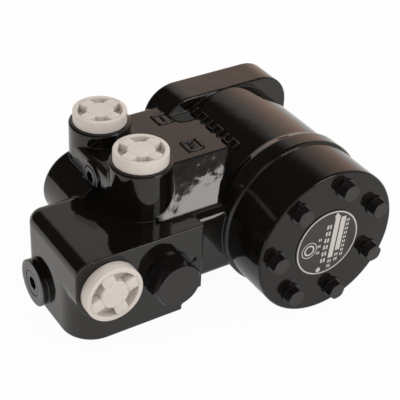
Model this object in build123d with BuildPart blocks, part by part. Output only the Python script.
from build123d import *
from math import cos, pi, radians, sin, sqrt
import os

# Orbital steering unit: a gerotor metering pump and a rotary valve in one cast-iron housing, with a
# priority and relief valve section cast on its left side.
#
# Millimetres, +Z up.  The rotor axis is the Y axis.  The origin is the centre of the face that bolts
# to the steering column, +Y points to the column, and every "depth" is measured from that face
# towards the end cap, so a depth d lies at Y = -d.  +X is to the right seen from the end cap.

os.makedirs("parts", exist_ok=True)

# ---- housing: barrel, collar and column flange
housing_length = 133.5
barrel_radius = 61.5
collar_radius = 64.5
collar_length = 22.0
collar_flare = 7.0
collar_chamfer = 2.0
flange_half = 62.0
flange_thickness = 30.0
flange_corner = 28.0
flange_edge = 1.5
mount_pitch = 82.5
mount_hole_radius = 4.25
mount_hole_depth = 22.0

# ---- housing: port block with the two steering ports
block_top = 50.5
block_front_depth = 91.0
block_back_depth = 13.0
block_edge = 5.0
slope_foot_depth = 118.0
port_x = -115.5
port_a_depth = 25.8
port_pitch = 64.2
port_rim = 62.0
port_boss_radius = 24.5
port_boss_foot = 24.0
port_rim_edge = 1.5
port_thread_radius = 13.0
port_thread_depth = 20.0
passage_radius = 5.0

# ---- housing: valve section with the inlet port
valve_left = -194.0
valve_right = -87.0
valve_front_depth = 136.0
valve_back_depth = 51.0
valve_top = 22.0
valve_bottom = -54.0
valve_front_corner = 25.0
valve_back_corner = 12.0
valve_top_edge = 10.0
valve_step_x = -104.0
valve_step_z = -37.0
inlet_x = -167.5
inlet_z = -6.0
inlet_boss_length = 34.0
neck_front_depth = 129.0
neck_back_depth = 24.0
neck_edge = 8.0
return_x = -127.0
return_z = 1.0
return_boss_radius = 32.3
return_face_depth = 12.0

# ---- priority valve in the valve section
priority_x = -116.5
priority_z = -14.0
priority_bore_radius = 10.0
priority_bore_end = 62.0
priority_thread_radius = 15.0
priority_thread_length = 16.0
priority_hex = 36.0
priority_head = 14.0
priority_turn = 10.0
priority_seal = 2.0
priority_seal_radius = 20.0
priority_spool_length = 34.0
priority_stroke = 6.0

# ---- relief valve, closed by a socket plug on the left face
relief_depth = 72.0
relief_z = -35.0
relief_boss_radius = 19.0
relief_boss_height = 5.0
relief_plug_radius = 11.0
relief_plug_length = 11.0
relief_hex = 10.0
relief_bore_radius = 7.0
relief_bore_length = 46.0
relief_lift = 2.0

# ---- gallery plugs
gallery_z = 36.0
gallery_boss_radius = 12.5
gallery_boss_height = 1.5
gallery_plug_radius = 9.0
gallery_plug_length = 10.0
gallery_hex = 9.0
gallery_bore_radius = 5.0
pilot_plug_radius = 2.5
pilot_plug_length = 5.0
pilot_x = -95.0
pilot_z = -7.4

# ---- rotor stack on the end of the housing
stack_radius = 62.5
plate_thickness = 6.0
gear_width = 20.5
cap_thickness = 16.0
cap_edge = 2.0
lobe_count = 7
lobe_circle = 41.0
lobe_radius = 10.0
eccentricity = 3.2
mesh_gap = 0.12
valley_gap = 0.35
seal_circle = 57.5
seal_width = 2.3
seal_height = 1.9
groove_gap = 0.1

# ---- cap bolts
bolt_circle = 48.0
bolt_phase = 76.7
bolt_radius = 4.0
bolt_clearance = 0.5
bolt_grip = 18.0
bolt_hex = 13.0
bolt_head = 7.0
bolt_turn = 12.0
bolt_thread_gap = 0.1
washer_radius = 8.2
washer_thickness = 1.6
check_ball_radius = 3.8
check_ball_lift = 1.5
check_pin_radius = 1.6
bush_length = 7.0

# ---- nameplate
nameplate_radius = 29.5
nameplate_thickness = 0.6
rivet_radius = 1.4
rivet_head_radius = 2.2
rivet_head_height = 0.7
rivet_length = 5.0
rivet_offset = 24.5
rivet_turn = 75.0

# ---- rotary valve: spool inside sleeve, running in the housing bore
sleeve_radius = 21.0
sleeve_end_gap = 0.3
spool_radius = 16.0
running_gap = 0.04
spool_start = 4.0
spool_bore = 11.8
spool_end_gap = 3.0
spline_depth = 20.0
spline_teeth = 12
column_spline_root = 11.6
column_spline_tip = 10.2
dust_seal_radius = 21.5
dust_seal_depth = 6.0
web_radius = 17.0
seal_seat_radius = 19.5
seal_seat_depth = 7.5
bearing_depth = 13.0
race_thickness = 2.2
needle_thickness = 2.0
needle_count = 14
spring_depth = 29.0
spring_width = 10.0
spring_thickness = 1.0
spring_bow = 1.6
spring_ring_height = 1.2
pin_depth = 44.0
pin_radius = 3.0
pin_gap = 0.15
deflection = 10.0
groove_depths = (58.0, 72.0, 86.0, 106.0)
groove_width = 7.0
groove_step = 2.5
meter_depth = 122.0
meter_hole_radius = 2.2
feed_hole_radius = 2.5
spool_slot_width = 3.0
spool_slot_step = 1.5

needle_length = 3.4
cage_thickness = 1.2
bearing_gap = 0.4
leaf_thickness = 0.6
spring_slot = 4.8
pin_slot = 12.0
sleeve_groove_width = 4.0
sleeve_groove_step = 0.8
feed_hole_count = 6

# ---- splines
spline_flank = 70.0
spline_space = 3.2
spline_tooth = 2.4

# ---- cardan shaft
cardan_head_radius = 10.6
cardan_head_length = 13.0
cardan_edge = 1.5
cardan_shaft_radius = 7.4
cardan_spline_root = 9.0
cardan_spline_tip = 10.8
cardan_spline_length = 13.0
star_spline_root = 11.3
star_spline_tip = 9.5
spacer_radius = 8.6
spacer_thickness = 2.4

# ---- plastic transit plugs
plug_radius = 21.2
inlet_plug_radius = 23.2
plug_height = 10.0
plug_edge = 1.6
plug_stem_length = 12.0
plug_stem_gap = 0.25
plug_pocket_depth = 6.0
plug_spoke_turn = 20.0

# ---- coil springs
spring_sides = 8

# ---- worked-out places
plate_face = housing_length + plate_thickness
gear_face = plate_face + gear_width
cap_face = gear_face + cap_thickness
port_b_depth = port_a_depth + port_pitch
block_left = port_x - port_boss_radius
inlet_boss_radius = inlet_x - valve_left
gear_phase = bolt_phase + 180.0 / lobe_count
star_x = eccentricity * cos(radians(gear_phase))
star_z = eccentricity * sin(radians(gear_phase))
star_mid = plate_face + gear_width / 2
fork_rock = cardan_head_radius * eccentricity / (star_mid - pin_depth)
star_turns = lobe_count - 1
star_gap = 0.04
sleeve_start = bearing_depth + 2 * race_thickness + needle_thickness + 0.2
sleeve_stop = housing_length - sleeve_end_gap
spool_stop = housing_length - spool_end_gap
bore_face = Plane.XZ.offset(housing_length)
front_face = Plane.XZ.offset(valve_front_depth)


def at_depth(depth, x=0.0, z=0.0, turn=0.0):
    """Plane at a depth and place, facing the end cap, turned about its normal."""
    side = (cos(radians(turn)), 0, sin(radians(turn)))
    return Plane(origin=(x, -depth, z), x_dir=side, z_dir=(0, -1, 0))


def on_circle(radius, count, start):
    """Places round the rotor axis, as (x, z) pairs."""
    turns = [radians(start + 360.0 * k / count) for k in range(count)]
    return [(radius * cos(t), radius * sin(t)) for t in turns]


def toward(start, end):
    """Plane at start that faces end, with the distance between them."""
    line = Vector(*end) - Vector(*start)
    return Plane(origin=start, z_dir=line.normalized()), line.length


bolt_places = on_circle(bolt_circle, lobe_count, bolt_phase)
chamber_places = on_circle(lobe_circle - lobe_radius / 2 - 2.5, lobe_count, gear_phase)
rivet_places = on_circle(rivet_offset, 2, rivet_turn)

# ---- housing
port_a = (port_x, -port_a_depth, port_rim)
port_b = (port_x, -port_b_depth, port_rim)
inlet_port = at_depth(valve_front_depth, inlet_x, inlet_z)
return_port = Plane(origin=(return_x, -return_face_depth, return_z), x_dir=(-1, 0, 0), z_dir=(0, 1, 0))
port_a_plane = Plane(origin=port_a)
port_b_plane = Plane(origin=port_b)
relief_plane = Plane(origin=(valve_left, -relief_depth, relief_z), x_dir=(0, -1, 0), z_dir=(-1, 0, 0))
gallery_plane = Plane(
    origin=(block_left, -(port_a_depth + port_pitch / 2), gallery_z), x_dir=(0, -1, 0), z_dir=(-1, 0, 0)
)

with BuildPart() as valve_section:
    valve_width = valve_right - valve_left
    valve_length = valve_front_depth - valve_back_depth
    # lower body, its left corners well rounded
    with BuildSketch(Plane.XY.offset(valve_bottom)) as lower_outline:
        with Locations(((valve_left + valve_right) / 2, -(valve_front_depth + valve_back_depth) / 2)):
            Rectangle(valve_width, valve_length)
        left_corners = lower_outline.vertices().group_by(Axis.X)[0]
        fillet(left_corners.sort_by(Axis.Y)[0], valve_front_corner)
        fillet(lower_outline.vertices().group_by(Axis.X)[0].sort_by(Axis.Y)[-1], valve_back_corner)
    extrude(amount=valve_top - valve_bottom)
    # square shoulder above the inlet port, and the round boss under it
    with BuildSketch(front_face):
        with Locations(((inlet_x + valve_left) / 2, (inlet_z + valve_top) / 2)):
            Rectangle(inlet_boss_radius, valve_top - inlet_z)
    extrude(amount=-inlet_boss_length)
    with BuildSketch(inlet_port):
        Circle(inlet_boss_radius)
    extrude(amount=-inlet_boss_length)
    # the lower right corner is cut back to the underside of the neck
    step_width = valve_right - valve_step_x
    with BuildSketch(front_face):
        with BuildLine():
            Polyline(
                (valve_step_x, valve_bottom - 1),
                (valve_step_x, valve_bottom + 5),
                (valve_step_x + step_width * 0.8, valve_step_z),
                (valve_right + 1, valve_step_z),
                (valve_right + 1, valve_bottom - 1),
                close=True,
            )
        make_face()
    extrude(amount=-valve_length, mode=Mode.SUBTRACT)
    left_top = valve_section.edges().filter_by(Axis.Y).group_by(Axis.Z)[-1].sort_by(Axis.X)[0]
    fillet(left_top, valve_top_edge)
    fillet(valve_section.edges().group_by(Axis.Z)[0], 1.5)

with BuildPart() as port_block:
    # the side wall is tangent to the two port bosses
    with BuildSketch(Plane.XY):
        with Locations((port_x / 2, -(block_front_depth + block_back_depth) / 2)):
            Rectangle(-port_x, block_front_depth - block_back_depth)
        with Locations((port_x - port_boss_radius / 2, -(port_a_depth + port_b_depth) / 2)):
            Rectangle(port_boss_radius, port_pitch)
    extrude(amount=block_top)
    with BuildSketch(Plane.YZ.offset(port_x)):
        with BuildLine():
            Polyline(
                (-block_back_depth, 0),
                (-slope_foot_depth, 0),
                (-slope_foot_depth, valve_top),
                (-block_front_depth, block_top),
                (-block_back_depth, block_top),
                close=True,
            )
        make_face()
    extrude(amount=-port_x)
    rim = port_block.faces().group_by(Axis.Z)[-1].edges()
    fillet(rim.filter_by(Axis.Y).sort_by(Axis.X)[0], block_edge)

with BuildPart() as neck:
    with BuildSketch(Plane.YZ.offset(valve_step_x)) as neck_outline:
        with Locations((-(neck_front_depth + neck_back_depth) / 2, (valve_step_z + valve_top) / 2)):
            Rectangle(neck_front_depth - neck_back_depth, valve_top - valve_step_z)
        fillet(neck_outline.vertices(), neck_edge)
    extrude(amount=-valve_step_x)

with BuildPart() as housing:
    # barrel with its collar at the end-cap side
    with BuildSketch(Plane.XY):
        with BuildLine():
            Polyline(
                (0, 0),
                (barrel_radius, 0),
                (barrel_radius, -(housing_length - collar_length)),
                (collar_radius, -(housing_length - collar_length + collar_flare)),
                (collar_radius, -(housing_length - collar_chamfer)),
                (collar_radius - collar_chamfer, -housing_length),
                (0, -housing_length),
                close=True,
            )
        make_face()
    revolve(axis=Axis.Y)
    # column flange
    with BuildSketch(Plane.XZ):
        RectangleRounded(2 * flange_half, 2 * flange_half, flange_corner)
    extrude(amount=flange_thickness)
    fillet(housing.faces().sort_by(Axis.Y)[-1].edges(), flange_edge)
    add(valve_section.part)
    add(port_block.part)
    add(neck.part)
    # steering-port bosses; the front one stands on the valve section
    for place, foot in ((port_a, port_boss_foot), (port_b, valve_top - 2)):
        with BuildSketch(Plane.XY.offset(foot)):
            with Locations(place[:2]):
                Circle(port_boss_radius)
        extrude(amount=port_rim - foot)
    # return-port boss behind the valve section
    with BuildSketch(return_port):
        Circle(return_boss_radius)
    extrude(amount=-(valve_back_depth - return_face_depth + valve_back_corner))
    # bosses of the relief plug and the gallery plug
    with BuildSketch(relief_plane):
        Circle(relief_boss_radius)
    extrude(amount=relief_boss_height)
    with BuildSketch(relief_plane):
        Circle(relief_boss_radius)
    extrude(amount=-relief_boss_radius)
    with BuildSketch(gallery_plane):
        Circle(gallery_boss_radius)
    extrude(amount=gallery_boss_height)
    rims = housing.faces().filter_by(Plane.XY).group_by(Axis.Z)[-1].edges()
    fillet(rims, port_rim_edge)

    # main bore, from the end cap side, with its pressure grooves
    with BuildSketch(Plane.XZ.offset(bearing_depth)):
        Circle(sleeve_radius)
    extrude(amount=housing_length - bearing_depth, mode=Mode.SUBTRACT)
    for groove_depth in groove_depths:
        with BuildSketch(Plane.XZ.offset(groove_depth - groove_width / 2)):
            Circle(sleeve_radius + groove_step)
        extrude(amount=groove_width, mode=Mode.SUBTRACT)
    # seal seats and web at the column end
    with BuildSketch(Plane.XZ.offset(seal_seat_depth)):
        Circle(seal_seat_radius)
    extrude(amount=bearing_depth - seal_seat_depth, mode=Mode.SUBTRACT)
    with BuildSketch(Plane.XZ):
        Circle(web_radius)
    extrude(amount=seal_seat_depth, mode=Mode.SUBTRACT)
    with BuildSketch(Plane.XZ):
        Circle(dust_seal_radius)
    extrude(amount=dust_seal_depth, mode=Mode.SUBTRACT)
    # column bolts
    with BuildSketch(Plane.XZ):
        with GridLocations(mount_pitch, mount_pitch, 2, 2):
            Circle(mount_hole_radius)
    extrude(amount=mount_hole_depth, mode=Mode.SUBTRACT)
    # cap bolts, chamber drillings and seal groove in the end face
    with BuildSketch(bore_face):
        with Locations(*bolt_places):
            Circle(bolt_radius)
    extrude(amount=-(bolt_grip + 2), mode=Mode.SUBTRACT)
    with BuildSketch(bore_face):
        with Locations(*chamber_places):
            Circle(meter_hole_radius)
    extrude(amount=meter_depth - housing_length, mode=Mode.SUBTRACT)
    with BuildSketch(bore_face):
        Circle(seal_circle + seal_width / 2 + groove_gap)
        Circle(seal_circle - seal_width / 2 - groove_gap, mode=Mode.SUBTRACT)
    extrude(amount=-(seal_height + groove_gap), mode=Mode.SUBTRACT)
    # inlet check valve at the foot of the first bolt hole
    check_seat = at_depth(housing_length - bolt_grip - 2, *bolt_places[0])
    with BuildSketch(check_seat):
        Circle(check_ball_radius + 0.4)
    extrude(amount=-(2 * check_ball_radius + check_ball_lift + bush_length), mode=Mode.SUBTRACT)

    # ports
    for port in (port_a_plane, port_b_plane, inlet_port, return_port):
        with BuildSketch(port):
            Circle(port_thread_radius)
        extrude(amount=-port_thread_depth, mode=Mode.SUBTRACT)
    # drilled passages from the ports to the grooves of the main bore
    bottom_of_ports = port_rim - port_thread_depth + 1
    groove_side = -sleeve_radius
    passages = (
        ((port_x, -port_a_depth, bottom_of_ports), (groove_side, -groove_depths[0], 6)),
        ((port_x, -port_b_depth, bottom_of_ports), (groove_side, -groove_depths[2], 6)),
        ((inlet_x, -(valve_front_depth - port_thread_depth + 1), inlet_z), (priority_x, -90, priority_z)),
        ((priority_x, -96, priority_z), (groove_side, -groove_depths[3], -4)),
        ((return_x, -(return_face_depth + port_thread_depth - 1), return_z), (groove_side, -groove_depths[1], 0)),
    )
    for start, end in passages:
        passage_plane, passage_length = toward(start, end)
        with BuildSketch(passage_plane):
            Circle(passage_radius)
        extrude(amount=passage_length, mode=Mode.SUBTRACT)
    # priority valve bore
    with BuildSketch(at_depth(valve_front_depth, priority_x, priority_z)):
        Circle(priority_bore_radius)
    extrude(amount=-(valve_front_depth - priority_bore_end), mode=Mode.SUBTRACT)
    with BuildSketch(at_depth(valve_front_depth, priority_x, priority_z)):
        Circle(priority_thread_radius)
    extrude(amount=-priority_thread_length, mode=Mode.SUBTRACT)
    # relief valve bore and side gallery
    for seat, plug_r, plug_l, bore_r, bore_l in (
        (relief_plane.offset(relief_boss_height), relief_plug_radius, relief_plug_length,
         relief_bore_radius, relief_bore_length),
        (gallery_plane.offset(gallery_boss_height), gallery_plug_radius, gallery_plug_length,
         gallery_bore_radius, 2 * gallery_plug_length),
    ):
        with BuildSketch(seat):
            Circle(plug_r)
        extrude(amount=-plug_l, mode=Mode.SUBTRACT)
        with BuildSketch(seat.offset(-plug_l)):
            Circle(bore_r)
        extrude(amount=-bore_l, mode=Mode.SUBTRACT)
    # pilot drilling on the machined front face
    with BuildSketch(at_depth(valve_front_depth, pilot_x, pilot_z)):
        Circle(pilot_plug_radius)
    extrude(amount=-2 * pilot_plug_length, mode=Mode.SUBTRACT)

# ---- distributor plate, gear set, end cap and their seals
def stack_disc(depth, thickness):
    """Round plate of the rotor stack with the bolt holes."""
    with BuildPart() as disc:
        with BuildSketch(Plane.XZ.offset(depth)):
            Circle(stack_radius)
            with Locations(*bolt_places):
                Circle(bolt_radius + bolt_clearance, mode=Mode.SUBTRACT)
        extrude(amount=thickness)
    return disc.part


def seal_groove(depth):
    """Groove for a stack seal, from a depth towards the end cap."""
    with BuildPart() as groove:
        with BuildSketch(Plane.XZ.offset(depth)):
            Circle(seal_circle + seal_width / 2 + groove_gap)
            Circle(seal_circle - seal_width / 2 - groove_gap, mode=Mode.SUBTRACT)
        extrude(amount=seal_height + groove_gap)
    return groove.part


with BuildPart() as distributor_plate:
    add(stack_disc(housing_length, plate_thickness))
    with BuildSketch(bore_face):
        Circle(spool_bore)
        with Locations(*chamber_places):
            Circle(meter_hole_radius)
    extrude(amount=plate_thickness, mode=Mode.SUBTRACT)

with BuildPart() as gear_ring:
    add(stack_disc(plate_face, gear_width))
    valley_radius = lobe_circle + 2 * eccentricity - lobe_radius + valley_gap
    with BuildSketch(Plane.XZ.offset(plate_face)):
        Circle(valley_radius)
        with Locations(*on_circle(lobe_circle, lobe_count, bolt_phase)):
            Circle(lobe_radius, mode=Mode.SUBTRACT)
    extrude(amount=gear_width, mode=Mode.SUBTRACT)
    add(seal_groove(plate_face), mode=Mode.SUBTRACT)

with BuildPart() as end_cap:
    add(stack_disc(gear_face, cap_thickness))
    fillet(end_cap.faces().sort_by(Axis.Y)[0].edges().sort_by(SortBy.RADIUS)[-1], cap_edge)
    add(seal_groove(gear_face), mode=Mode.SUBTRACT)
    with BuildSketch(Plane.XZ.offset(cap_face)):
        with Locations(*rivet_places):
            Circle(rivet_radius)
    extrude(amount=-rivet_length, mode=Mode.SUBTRACT)

with BuildPart() as stack_seals:
    for start in (housing_length - seal_height, plate_face, gear_face):
        with BuildSketch(Plane.XZ.offset(start)):
            Circle(seal_circle + seal_width / 2)
            Circle(seal_circle - seal_width / 2, mode=Mode.SUBTRACT)
        extrude(amount=seal_height)


def star_point(turn):
    """Point on the star: the path of a ring lobe's centre, moved in by the lobe's radius."""
    fast = lobe_count * turn
    path_x = lobe_circle * cos(turn) + eccentricity * cos(fast)
    path_z = lobe_circle * sin(turn) + eccentricity * sin(fast)
    out_x = lobe_circle * cos(turn) + lobe_count * eccentricity * cos(fast)
    out_z = lobe_circle * sin(turn) + lobe_count * eccentricity * sin(fast)
    inset = (lobe_radius + mesh_gap) / sqrt(out_x**2 + out_z**2)
    return (path_x - inset * out_x, path_z - inset * out_z)


def spline_teeth_sketch(inner, outer, width):
    """Ring of tapered teeth, or of the spaces between them, from inner to outer radius."""
    with PolarLocations((inner + outer) / 2, spline_teeth):
        Trapezoid(width, outer - inner, spline_flank, rotation=-90)


with BuildPart() as gear_star:
    with BuildSketch(at_depth(plate_face + star_gap, star_x, star_z, gear_phase)):
        star_points = [star_point(2 * pi * k / (12 * star_turns)) for k in range(12 * star_turns)]
        with BuildLine():
            Spline(*star_points, periodic=True)
        make_face()
    extrude(amount=gear_width - 2 * star_gap)
    with BuildSketch(at_depth(plate_face + star_gap, star_x, star_z)):
        Circle(star_spline_tip)
        spline_teeth_sketch(star_spline_tip - 0.5, star_spline_root, spline_space)
    extrude(amount=gear_width, mode=Mode.SUBTRACT)

with BuildPart() as cardan_spacer:
    with BuildSketch(at_depth(gear_face - spacer_thickness - star_gap, star_x, star_z)):
        Circle(spacer_radius)
    extrude(amount=spacer_thickness)

# ---- cardan shaft: forked over the cross pin, leaning to the star's centre
cardan_plane, cardan_length = toward((0, -pin_depth, 0), (star_x, -star_mid, star_z))
cardan_plane = Plane(origin=cardan_plane.origin, x_dir=(1, 0, 0), z_dir=cardan_plane.z_dir)
with BuildPart() as cardan_shaft:
    with BuildSketch(cardan_plane.offset(-cardan_head_length / 2)):
        Circle(cardan_head_radius)
    extrude(amount=cardan_head_length)
    chamfer(cardan_shaft.edges(), cardan_edge)
    with BuildSketch(cardan_plane):
        Circle(cardan_shaft_radius)
    extrude(amount=cardan_length)
    with BuildSketch(cardan_plane.offset(cardan_length - cardan_spline_length / 2)):
        Circle(cardan_spline_root)
        spline_teeth_sketch(cardan_spline_root - 0.5, cardan_spline_tip, spline_tooth)
    extrude(amount=cardan_spline_length)
    # fork slot, open to the column end and deep enough for the pin while the shaft rocks
    slot_half = pin_radius + pin_gap
    with BuildSketch(cardan_plane.offset(-cardan_head_length)):
        Rectangle(4 * cardan_head_radius, 2 * slot_half)
    extrude(amount=cardan_head_length + slot_half + fork_rock, mode=Mode.SUBTRACT)

# ---- rotary valve
with BuildPart() as sleeve:
    sleeve_length = sleeve_stop - sleeve_start
    with BuildSketch(Plane.XZ.offset(sleeve_start)):
        Circle(sleeve_radius - running_gap)
        Circle(spool_radius + running_gap, mode=Mode.SUBTRACT)
    extrude(amount=sleeve_length)
    for start in groove_depths:
        with BuildSketch(Plane.XZ.offset(start - sleeve_groove_width / 2)):
            Circle(sleeve_radius)
            Circle(sleeve_radius - sleeve_groove_step, mode=Mode.SUBTRACT)
        extrude(amount=sleeve_groove_width, mode=Mode.SUBTRACT)
    # recess for the spring ring
    with BuildSketch(Plane.XZ.offset(spring_depth - spring_width / 2 - pin_gap)):
        Circle(sleeve_radius)
        Circle(sleeve_radius - spring_ring_height - 2 * running_gap, mode=Mode.SUBTRACT)
    extrude(amount=spring_width + 2 * pin_gap, mode=Mode.SUBTRACT)
    # holes: one row in each groove, and a row of twice the lobes' number less two at the meter holes
    rows = [(depth, feed_hole_count, feed_hole_radius) for depth in groove_depths]
    rows.append((meter_depth, 2 * star_turns, meter_hole_radius))
    for row_depth, row_count, row_radius in rows:
        for k in range(row_count // 2):
            turn = radians(180.0 * (k + 0.5) / (row_count / 2))
            with BuildSketch(Plane(origin=(0, -row_depth, 0), z_dir=(cos(turn), 0, sin(turn)))):
                Circle(row_radius)
            extrude(amount=2 * sleeve_radius, both=True, mode=Mode.SUBTRACT)
    with BuildSketch(Plane.YZ):
        with Locations((-pin_depth, 0)):
            Circle(pin_radius + pin_gap)
    extrude(amount=2 * sleeve_radius, both=True, mode=Mode.SUBTRACT)
    with BuildSketch(Plane.YZ):
        with Locations((-spring_depth, 0)):
            Rectangle(spring_width + 2 * pin_gap, spring_slot)
    extrude(amount=2 * sleeve_radius, both=True, mode=Mode.SUBTRACT)

with BuildPart() as spool:
    with BuildSketch(Plane.XZ.offset(spool_start)):
        Circle(spool_radius)
    extrude(amount=spool_stop - spool_start)
    with BuildSketch(Plane.XZ.offset(spline_depth)):
        Circle(spool_bore)
    extrude(amount=spool_stop - spline_depth, mode=Mode.SUBTRACT)
    with BuildSketch(Plane.XZ.offset(spool_start)):
        Circle(column_spline_tip)
        spline_teeth_sketch(column_spline_tip - 0.5, column_spline_root, spline_space)
    extrude(amount=spline_depth - spool_start, mode=Mode.SUBTRACT)
    spool_end = spool.faces().sort_by(Axis.Y)[-1].edges().filter_by(GeomType.CIRCLE)
    chamfer(spool_end.sort_by(SortBy.RADIUS)[-1], 1.0)
    # pressure slots along the outside
    slot_start = groove_depths[0] + 4
    for k in range(star_turns):
        turn = radians(360.0 * k / star_turns)
        side = Plane(
            origin=(spool_radius * cos(turn), -(slot_start + meter_depth) / 2, spool_radius * sin(turn)),
            x_dir=(0, 1, 0),
            z_dir=(cos(turn), 0, sin(turn)),
        )
        with BuildSketch(side):
            Rectangle(meter_depth - slot_start, spool_slot_width)
        extrude(amount=-spool_slot_step, mode=Mode.SUBTRACT)
    # cross-pin slots, wide enough for the deflection, and the slots for the leaf springs
    with BuildSketch(Plane.YZ):
        with Locations((-pin_depth, 0)):
            Rectangle(2 * (pin_radius + pin_gap), pin_slot)
        with Locations((-spring_depth, 0)):
            Rectangle(spring_width + 2 * pin_gap, spring_slot)
    extrude(amount=2 * spool_radius, both=True, mode=Mode.SUBTRACT)

with BuildPart() as cross_pin:
    with BuildSketch(Plane.YZ):
        with Locations((-pin_depth, 0)):
            Circle(pin_radius)
    extrude(amount=sleeve_radius - 4 * running_gap, both=True)
    chamfer(cross_pin.faces().filter_by(GeomType.PLANE).edges(), 0.5)

with BuildPart() as centering_springs:
    leaf_end = sleeve_radius - spring_ring_height - 4 * running_gap
    leaf_low = 1.5 * leaf_thickness
    leaf_high = spring_slot / 2 - leaf_thickness
    leaf_start = spring_depth - spring_width / 2
    for side in (-1, 1):
        with BuildSketch(Plane.XZ.offset(leaf_start)):
            with BuildLine() as bow:
                ThreePointArc((-leaf_end, side * leaf_high), (0, side * leaf_low * 1.2), (leaf_end, side * leaf_high))
            trace(line_width=leaf_thickness)
        extrude(amount=spring_width)
        with BuildSketch(Plane.XZ.offset(leaf_start)):
            with Locations((0, side * leaf_thickness * 0.56)):
                Rectangle(2 * leaf_end, leaf_thickness)
        extrude(amount=spring_width)

with BuildPart() as spring_ring:
    with BuildSketch(Plane.XZ.offset(spring_depth - spring_width / 2)):
        Circle(sleeve_radius - 2 * running_gap)
        Circle(sleeve_radius - spring_ring_height - running_gap, mode=Mode.SUBTRACT)
    extrude(amount=spring_width)


# ---- thrust bearing and seals at the column end
def flat_ring(depth, thickness, outer, inner):
    """Plain ring about the rotor axis."""
    with BuildPart() as ring:
        with BuildSketch(Plane.XZ.offset(depth)):
            Circle(outer)
            Circle(inner, mode=Mode.SUBTRACT)
        extrude(amount=thickness)
    return ring.part


race_outer = sleeve_radius - bearing_gap
race_inner = spool_radius + bearing_gap
needle_depth = bearing_depth + race_thickness + needle_thickness / 2
with BuildPart() as bearing_outer_race:
    add(flat_ring(bearing_depth, race_thickness, race_outer, race_inner))

with BuildPart() as bearing_inner_race:
    add(flat_ring(bearing_depth + race_thickness + needle_thickness, race_thickness, race_outer, race_inner))

with BuildPart() as needle_cage:
    add(flat_ring(needle_depth - cage_thickness / 2, cage_thickness, race_outer, race_inner))
    with BuildSketch(Plane.XZ.offset(needle_depth - cage_thickness / 2)):
        with PolarLocations((race_outer + race_inner) / 2, needle_count):
            Rectangle(needle_length + 0.3, needle_thickness + 0.2)
    extrude(amount=cage_thickness, mode=Mode.SUBTRACT)

with BuildPart() as needle_rollers:
    for place_x, place_z in on_circle((race_outer + race_inner) / 2, needle_count, 0):
        outward = Vector(place_x, 0, place_z).normalized()
        roller_start = Vector(place_x, -needle_depth, place_z) - outward * (needle_length / 2)
        with BuildSketch(Plane(origin=roller_start, z_dir=outward)):
            Circle(needle_thickness / 2 - running_gap / 2)
        extrude(amount=needle_length)

with BuildPart() as shaft_seal:
    seal_depth = seal_seat_depth + 0.3
    add(flat_ring(seal_depth, bearing_depth - seal_depth - 0.1, seal_seat_radius - 0.05, spool_radius + 0.15))
    # lip groove that faces the pressure
    with BuildSketch(Plane.XZ.offset(bearing_depth - 0.1)):
        Circle((seal_seat_radius + spool_radius) / 2 + 0.5)
        Circle((seal_seat_radius + spool_radius) / 2 - 0.5, mode=Mode.SUBTRACT)
    extrude(amount=-2, mode=Mode.SUBTRACT)

with BuildPart() as dust_seal:
    add(flat_ring(0.4, dust_seal_depth - 0.4, dust_seal_radius - 0.05, spool_radius + 1.4))
    # wiper lip
    with BuildSketch(Plane.XZ.offset(dust_seal_depth)):
        Circle(dust_seal_radius - 1)
        Circle(spool_radius + 0.2, mode=Mode.SUBTRACT)
    extrude(amount=-1.8)


# ---- cap bolts
def cap_bolts_group(places, tip_length):
    """Hexagon bolts under the cap, with an optional thin tip."""
    under_head = cap_face + washer_thickness
    with BuildPart() as bolts:
        with BuildSketch(Plane.XZ.offset(under_head)):
            with Locations(*places):
                RegularPolygon(bolt_hex / 2, 6, major_radius=False, rotation=bolt_turn)
        extrude(amount=bolt_head)
        # the corners of the head's outer face are turned off
        with BuildSketch(Plane.XZ.offset(under_head)) as crown:
            with Locations(*places):
                Circle(bolt_hex / 2 + bolt_head * 0.62)
        extrude(amount=bolt_head, taper=30, mode=Mode.INTERSECT)
        with BuildSketch(Plane.XZ.offset(under_head)):
            with Locations(*places):
                Circle(bolt_radius - bolt_thread_gap)
        extrude(amount=-(under_head - housing_length + bolt_grip))
        if tip_length:
            with BuildSketch(Plane.XZ.offset(housing_length - bolt_grip)):
                with Locations(*places):
                    Circle(check_pin_radius)
            extrude(amount=-tip_length)
    return bolts.part


check_bolt_tip = 1.4
with BuildPart() as cap_bolts:
    add(cap_bolts_group(bolt_places[1:], 0))

with BuildPart() as check_bolt:
    add(cap_bolts_group(bolt_places[:1], check_bolt_tip))

with BuildPart() as bolt_washers:
    with BuildSketch(Plane.XZ.offset(cap_face)):
        with Locations(*bolt_places):
            Circle(washer_radius)
        with Locations(*bolt_places):
            Circle(bolt_radius + 0.3, mode=Mode.SUBTRACT)
    extrude(amount=washer_thickness)

check_x, check_z = bolt_places[0]
check_foot = housing_length - bolt_grip - 2 - 2 * check_ball_radius - check_ball_lift - bush_length
with BuildPart() as check_bush:
    with BuildSketch(at_depth(check_foot, check_x, check_z)):
        Circle(check_ball_radius + 0.3)
        Circle(check_ball_radius / 2, mode=Mode.SUBTRACT)
    extrude(amount=bush_length)

with BuildPart() as check_ball:
    with Locations((check_x, -(check_foot + bush_length + check_ball_radius + 0.1), check_z)):
        Sphere(check_ball_radius)

# ---- nameplate
with BuildPart() as nameplate:
    with BuildSketch(Plane.XZ.offset(cap_face)):
        Circle(nameplate_radius)
        with Locations(*rivet_places):
            Circle(rivet_radius + 0.1, mode=Mode.SUBTRACT)
    extrude(amount=nameplate_thickness)

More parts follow.
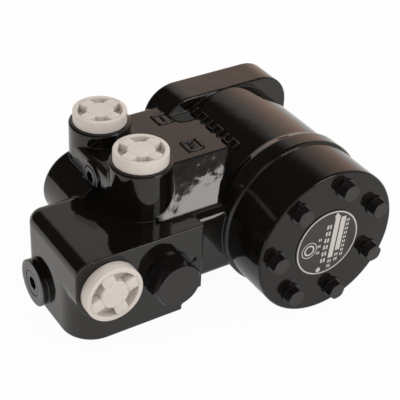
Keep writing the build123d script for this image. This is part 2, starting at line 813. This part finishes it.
with BuildPart() as nameplate_rivets:
    with BuildSketch(Plane.XZ.offset(cap_face + nameplate_thickness)):
        with Locations(*rivet_places):
            Circle(rivet_head_radius)
    extrude(amount=rivet_head_height)
    fillet(nameplate_rivets.faces().sort_by(Axis.Y)[:2].edges(), rivet_head_height * 0.7)
    with BuildSketch(Plane.XZ.offset(cap_face + nameplate_thickness)):
        with Locations(*rivet_places):
            Circle(rivet_radius - 0.05)
    extrude(amount=-(rivet_length + nameplate_thickness - 0.3))


# ---- transit plugs in the ports
def transit_plug(port, radius):
    """Plastic plug: rim, round middle and four spokes, on a hollow stem."""
    face = port.offset(plug_height)
    with BuildPart() as plug:
        with BuildSketch(port):
            Circle(radius)
        extrude(amount=plug_height)
        fillet(plug.edges(), plug_edge)
        with BuildSketch(face):
            Circle(radius * 0.74)
            Circle(radius * 0.5, mode=Mode.SUBTRACT)
            with Locations((0, 0, 0)):
                Rectangle(2 * radius, radius * 0.26, rotation=plug_spoke_turn, mode=Mode.SUBTRACT)
                Rectangle(radius * 0.26, 2 * radius, rotation=plug_spoke_turn, mode=Mode.SUBTRACT)
        extrude(amount=-plug_pocket_depth, mode=Mode.SUBTRACT)
        with BuildSketch(port):
            Circle(port_thread_radius - plug_stem_gap)
            Circle(port_thread_radius - plug_stem_gap - 2.5, mode=Mode.SUBTRACT)
        extrude(amount=-plug_stem_length)
    return plug.part


with BuildPart() as port_plug_1:
    add(transit_plug(port_a_plane, plug_radius))

with BuildPart() as port_plug_2:
    add(transit_plug(port_b_plane, plug_radius))

with BuildPart() as inlet_plug:
    add(transit_plug(inlet_port, inlet_plug_radius))

with BuildPart() as return_plug:
    add(transit_plug(return_port, plug_radius))

# ---- priority valve
priority_face = at_depth(valve_front_depth, priority_x, priority_z)
with BuildPart() as priority_plug:
    with BuildSketch(priority_face.offset(priority_seal)):
        RegularPolygon(priority_hex / 2, 6, major_radius=False, rotation=priority_turn)
    extrude(amount=priority_head)
    with BuildSketch(priority_face.offset(priority_seal)):
        Circle(priority_hex / 2 + priority_head * 0.55)
    extrude(amount=priority_head, taper=30, mode=Mode.INTERSECT)
    with BuildSketch(priority_face.offset(priority_seal)):
        Circle(priority_thread_radius - 0.1)
    extrude(amount=-(priority_thread_length + priority_seal - 1))

with BuildPart() as priority_plug_seal:
    with BuildSketch(priority_face):
        Circle(priority_seal_radius)
        Circle(priority_thread_radius + 0.2, mode=Mode.SUBTRACT)
    extrude(amount=priority_seal)

priority_spool_face = priority_face.offset(-(priority_thread_length + 0.3))
with BuildPart() as priority_spool:
    with BuildSketch(priority_spool_face):
        Circle(priority_bore_radius - running_gap)
    extrude(amount=-priority_spool_length)
    with BuildSketch(priority_spool_face.offset(-priority_spool_length * 0.5)):
        Circle(priority_bore_radius)
        Circle(priority_bore_radius * 0.65, mode=Mode.SUBTRACT)
    extrude(amount=-priority_spool_length * 0.35, mode=Mode.SUBTRACT)
    with BuildSketch(priority_spool_face):
        Circle(priority_bore_radius * 0.4)
    extrude(amount=-priority_spool_length * 0.4, mode=Mode.SUBTRACT)


def coil_spring(start, axis, length, radius, wire, turns):
    """Compression spring from a start point along an axis."""
    begin = Vector(*start) + Vector(*axis) * wire
    with BuildPart() as spring:
        with BuildLine() as coil:
            Helix((length - 2 * wire) / turns, length - 2 * wire, radius, center=begin, direction=axis)
        with BuildSketch(Plane(origin=coil.line @ 0, z_dir=coil.line % 0)):
            RegularPolygon(wire, spring_sides)
        sweep(is_frenet=True)
    return spring.part


priority_spring_end = -priority_bore_end - 0.2
priority_spring_length = valve_front_depth - priority_thread_length - priority_spool_length - priority_bore_end - 0.8
with BuildPart() as priority_spring:
    add(
        coil_spring(
            (priority_x, priority_spring_end, priority_z), (0, -1, 0), priority_spring_length,
            priority_bore_radius - 2.5, 1.1, 5,
        )
    )


# ---- plugs with a hexagon socket
def socket_plug(face, radius, length, hex_size):
    """Screwed plug whose outer face is level with its boss."""
    with BuildPart() as plug:
        with BuildSketch(face):
            Circle(radius - 0.1)
        extrude(amount=-(length - 0.3))
        chamfer(plug.edges().sort_by(lambda e: (e.center() - face.origin).length)[0], 0.8)
        with BuildSketch(face):
            RegularPolygon(hex_size / 2, 6, major_radius=False)
        extrude(amount=-length * 0.6, mode=Mode.SUBTRACT)
    return plug.part


relief_face = relief_plane.offset(relief_boss_height)
gallery_face = gallery_plane.offset(gallery_boss_height)
with BuildPart() as relief_plug:
    add(socket_plug(relief_face, relief_plug_radius, relief_plug_length, relief_hex))

with BuildPart() as gallery_plug:
    add(socket_plug(gallery_face, gallery_plug_radius, gallery_plug_length, gallery_hex))

with BuildPart() as pilot_plug:
    with BuildSketch(at_depth(valve_front_depth - 1, pilot_x, pilot_z)):
        Circle(pilot_plug_radius - 0.05)
    extrude(amount=-pilot_plug_length)

# ---- relief valve
relief_seat_length = 6.0
relief_poppet_length = 15.0
relief_end = relief_face.offset(-(relief_plug_length + relief_bore_length))
with BuildPart() as relief_seat:
    with BuildSketch(relief_end):
        Circle(relief_bore_radius - 0.05)
        Circle(relief_bore_radius * 0.4, mode=Mode.SUBTRACT)
    extrude(amount=relief_seat_length)

relief_poppet_foot = relief_end.offset(relief_seat_length + 0.1)
with BuildPart() as relief_poppet:
    with BuildSketch(relief_poppet_foot):
        Circle(relief_bore_radius * 0.45)
    extrude(amount=relief_poppet_length * 0.35, taper=-25)
    with BuildSketch(relief_poppet_foot.offset(relief_poppet_length * 0.35)):
        Circle(relief_bore_radius - running_gap)
    extrude(amount=relief_poppet_length * 0.65)

relief_spring_start = relief_seat_length + relief_poppet_length + 0.4
relief_spring_length = relief_bore_length - relief_spring_start - 0.1
with BuildPart() as relief_spring:
    add(
        coil_spring(
            tuple(relief_end.offset(relief_spring_start).origin), (-1, 0, 0), relief_spring_length,
            relief_bore_radius - 2, 0.9, 6,
        )
    )

# ---- write every piece
pieces = {
    "housing": housing,
    "distributor_plate": distributor_plate,
    "gear_ring": gear_ring,
    "gear_star": gear_star,
    "end_cap": end_cap,
    "stack_seals": stack_seals,
    "cardan_shaft": cardan_shaft,
    "cardan_spacer": cardan_spacer,
    "sleeve": sleeve,
    "spool": spool,
    "cross_pin": cross_pin,
    "centering_springs": centering_springs,
    "spring_ring": spring_ring,
    "bearing_outer_race": bearing_outer_race,
    "bearing_inner_race": bearing_inner_race,
    "needle_cage": needle_cage,
    "needle_rollers": needle_rollers,
    "shaft_seal": shaft_seal,
    "dust_seal": dust_seal,
    "cap_bolts": cap_bolts,
    "check_bolt": check_bolt,
    "bolt_washers": bolt_washers,
    "check_bush": check_bush,
    "check_ball": check_ball,
    "nameplate": nameplate,
    "nameplate_rivets": nameplate_rivets,
    "port_plug_1": port_plug_1,
    "port_plug_2": port_plug_2,
    "inlet_plug": inlet_plug,
    "return_plug": return_plug,
    "priority_plug": priority_plug,
    "priority_plug_seal": priority_plug_seal,
    "priority_spool": priority_spool,
    "priority_spring": priority_spring,
    "gallery_plug": gallery_plug,
    "pilot_plug": pilot_plug,
    "relief_plug": relief_plug,
    "relief_seat": relief_seat,
    "relief_poppet": relief_poppet,
    "relief_spring": relief_spring,
}
for name, piece in pieces.items():
    piece.part.label = name
    export_step(piece.part, f"parts/{name}.step")
